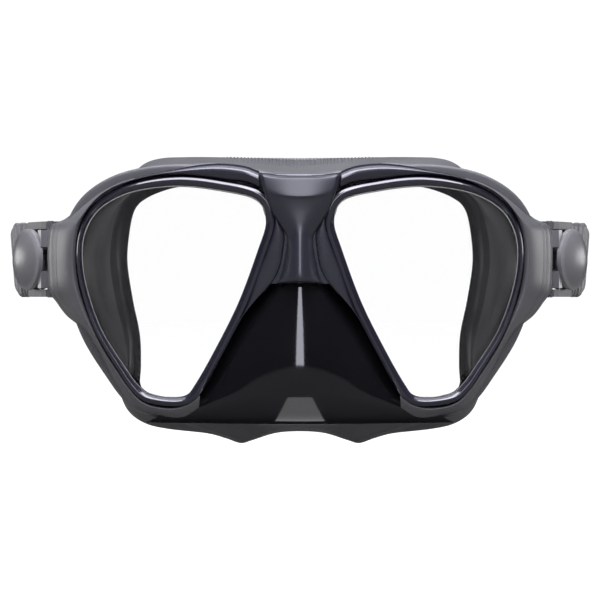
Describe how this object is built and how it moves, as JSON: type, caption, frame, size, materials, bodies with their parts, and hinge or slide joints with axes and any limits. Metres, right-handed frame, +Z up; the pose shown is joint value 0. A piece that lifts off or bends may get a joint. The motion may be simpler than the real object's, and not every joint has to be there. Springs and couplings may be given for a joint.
{
  "type": "diving mask",
  "caption": "Two-lens diving mask: glossy frame, silicone skirt with nose pocket and ears, side buckles with domed release buttons and rollers, and a split head strap.",
  "frame": {"origin": "middle of the face opening at the brow seal, half-way up the lenses", "axes": "+Y towards the wearer's face, out of the open side; +Z up; +X to the right as seen from the front"},
  "size_m": [0.1914, 0.1931, 0.0965],
  "materials": {
    "frame_plastic": "smooth glossy moulded plastic, near black",
    "cover_plastic": "satin to gloss moulded plastic, near black",
    "rim_plastic": "smooth glossy moulded plastic, near black",
    "tempered_glass": "clear tempered glass",
    "skirt_silicone": "black silicone, glossy on the nose pocket and satin on the sides",
    "insert_plastic": "black moulded plastic",
    "pin_steel": "stainless steel",
    "buckle_plastic": "black moulded plastic",
    "button_plastic": "satin black moulded plastic",
    "roller_plastic": "black moulded plastic",
    "strap_silicone": "matt black silicone"
  },
  "bodies": {
    "mask": {"main_frame": "frame_plastic", "bridge_cover": "cover_plastic", "left_bezel": "rim_plastic", "right_bezel": "rim_plastic", "left_lens": "tempered_glass", "right_lens": "tempered_glass", "skirt": "skirt_silicone", "left_ear_insert": "insert_plastic", "right_ear_insert": "insert_plastic", "left_swivel_pin": "pin_steel", "right_swivel_pin": "pin_steel"},
    "strap_set": {"left_buckle_frame": "buckle_plastic", "right_buckle_frame": "buckle_plastic", "left_roller_pin": "pin_steel", "right_roller_pin": "pin_steel", "left_button_pin": "pin_steel", "right_button_pin": "pin_steel", "left_button_spring": "pin_steel", "right_button_spring": "pin_steel", "head_strap": "strap_silicone"},
    "left_button": {"left_release_button": "button_plastic"},
    "right_button": {"right_release_button": "button_plastic"},
    "left_roller_body": {"left_roller": "roller_plastic"},
    "right_roller_body": {"right_roller": "roller_plastic"}
  },
  "joints": [
    {"name": "strap_swing", "type": "hinge", "parent": "mask", "child": "strap_set", "pos_m": [0, -0.026, 0.013], "axis": [1, 0, 0], "range_deg": [-25, 25]},
    {"name": "right_button_press", "type": "hinge", "parent": "strap_set", "child": "right_button", "pos_m": [0.07945, -0.02567, 0.013], "axis": [0, 0, 1], "range_deg": [0, 5], "stiffness_Nm_per_rad": 0.02, "springref_deg": -5.73},
    {"name": "left_button_press", "type": "hinge", "parent": "strap_set", "child": "left_button", "pos_m": [-0.07945, -0.02567, 0.013], "axis": [0, 0, -1], "range_deg": [0, 5], "stiffness_Nm_per_rad": 0.02, "springref_deg": -5.73},
    {"name": "right_roller_spin", "type": "hinge", "parent": "strap_set", "child": "right_roller_body", "pos_m": [0.0799, -0.0175, 0.013], "axis": [0, 0, 1], "continuous": true},
    {"name": "left_roller_spin", "type": "hinge", "parent": "strap_set", "child": "left_roller_body", "pos_m": [-0.0799, -0.0175, 0.013], "axis": [0, 0, -1], "continuous": true}
  ]
}
